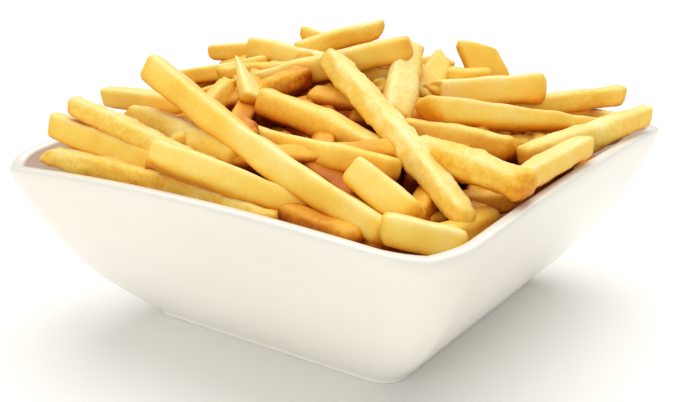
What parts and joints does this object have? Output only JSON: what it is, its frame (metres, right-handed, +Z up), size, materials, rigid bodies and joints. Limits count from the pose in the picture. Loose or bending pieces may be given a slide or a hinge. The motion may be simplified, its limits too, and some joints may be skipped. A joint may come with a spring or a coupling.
{
  "type": "bowl of french fries",
  "caption": "Portion of golden french fries heaped above the rim of a square white porcelain bowl with flared sides and a low foot.",
  "frame": {"origin": "under the middle of the square bowl, on the surface that it stands on", "axes": "+Z up out of the bowl's mouth, +X and +Y square to two neighbouring sides of the bowl; the heap's front in the picture is the corner towards +X and -Y"},
  "size_m": [0.1642, 0.1642, 0.0889],
  "materials": {
    "white_porcelain": "glazed",
    "fried_potato": "matte, lightly oiled"
  },
  "bodies": {
    "root": {"bowl": "white_porcelain", "fries": "fried_potato"}
  },
  "joints": []
}
